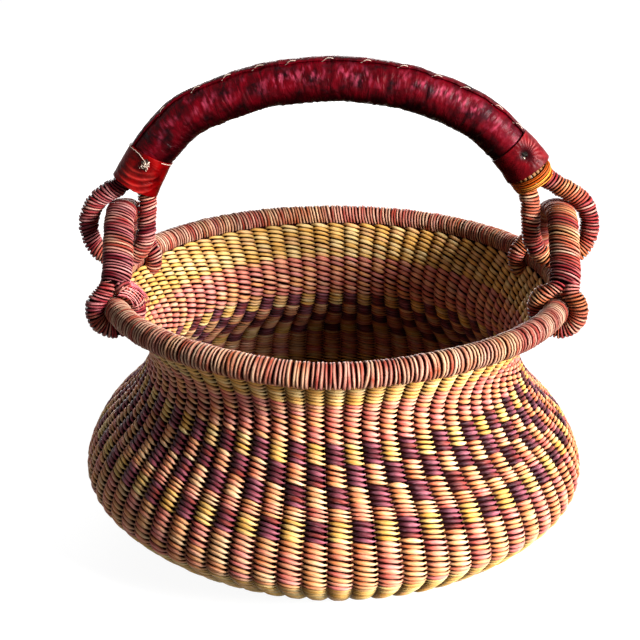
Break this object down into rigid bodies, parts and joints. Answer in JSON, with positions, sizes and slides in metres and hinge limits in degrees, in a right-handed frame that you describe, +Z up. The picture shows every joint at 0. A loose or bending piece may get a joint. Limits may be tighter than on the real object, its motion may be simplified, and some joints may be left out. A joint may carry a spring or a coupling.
{
  "type": "bolga market basket",
  "caption": "Round woven grass market basket with a wide belly, narrow neck, wrapped rim, two rope ears and a leather-covered arched handle that swings on looped ends.",
  "frame": {"origin": "centre of the flat foot, on the surface that the basket stands on", "axes": "+Z up through the mouth; +X towards the right ear, with the handle's arch in the XZ plane; -Y towards the viewer of the picture"},
  "size_m": [0.3934, 0.3876, 0.3592],
  "materials": {
    "undyed_grass": "natural woven grass, matt",
    "straw_grass": "yellow dyed grass, matt",
    "coral_grass": "coral dyed grass, matt",
    "straw_plum_grass": "straw and plum dyed grass by turns, matt",
    "plum_orange_grass": "plum and orange dyed grass by turns, matt",
    "grip_leather": "dark red stitched leather, soft sheen",
    "cuff_leather": "bright red leather, soft sheen",
    "pale_thread": "pale cotton thread"
  },
  "bodies": {
    "basket": {"woven_base": "undyed_grass", "lower_edge_straw": "straw_grass", "belly_coral": "coral_grass", "lower_pattern": "straw_plum_grass", "middle_pattern": "plum_orange_grass", "upper_pattern": "straw_plum_grass", "neck_coral": "coral_grass", "neck_straw": "straw_grass", "rim_rope": "coral_grass", "ear_rope_left": "coral_grass", "ear_rope_right": "coral_grass", "ear_wrap_left": "coral_grass", "ear_wrap_right": "coral_grass"},
    "handle": {"handle_rope": "coral_grass", "grip_padding": "undyed_grass", "leather_sleeve": "grip_leather", "seam_thread": "pale_thread", "cuff_left": "cuff_leather", "cuff_right": "cuff_leather", "cuff_thread_left": "pale_thread", "grass_binding_right": "straw_grass"}
  },
  "joints": [
    {"name": "handle_swing", "type": "hinge", "parent": "basket", "child": "handle", "pos_m": [0, 0, 0.20355], "axis": [1, 0, 0], "range_deg": [-52, 52]}
  ]
}
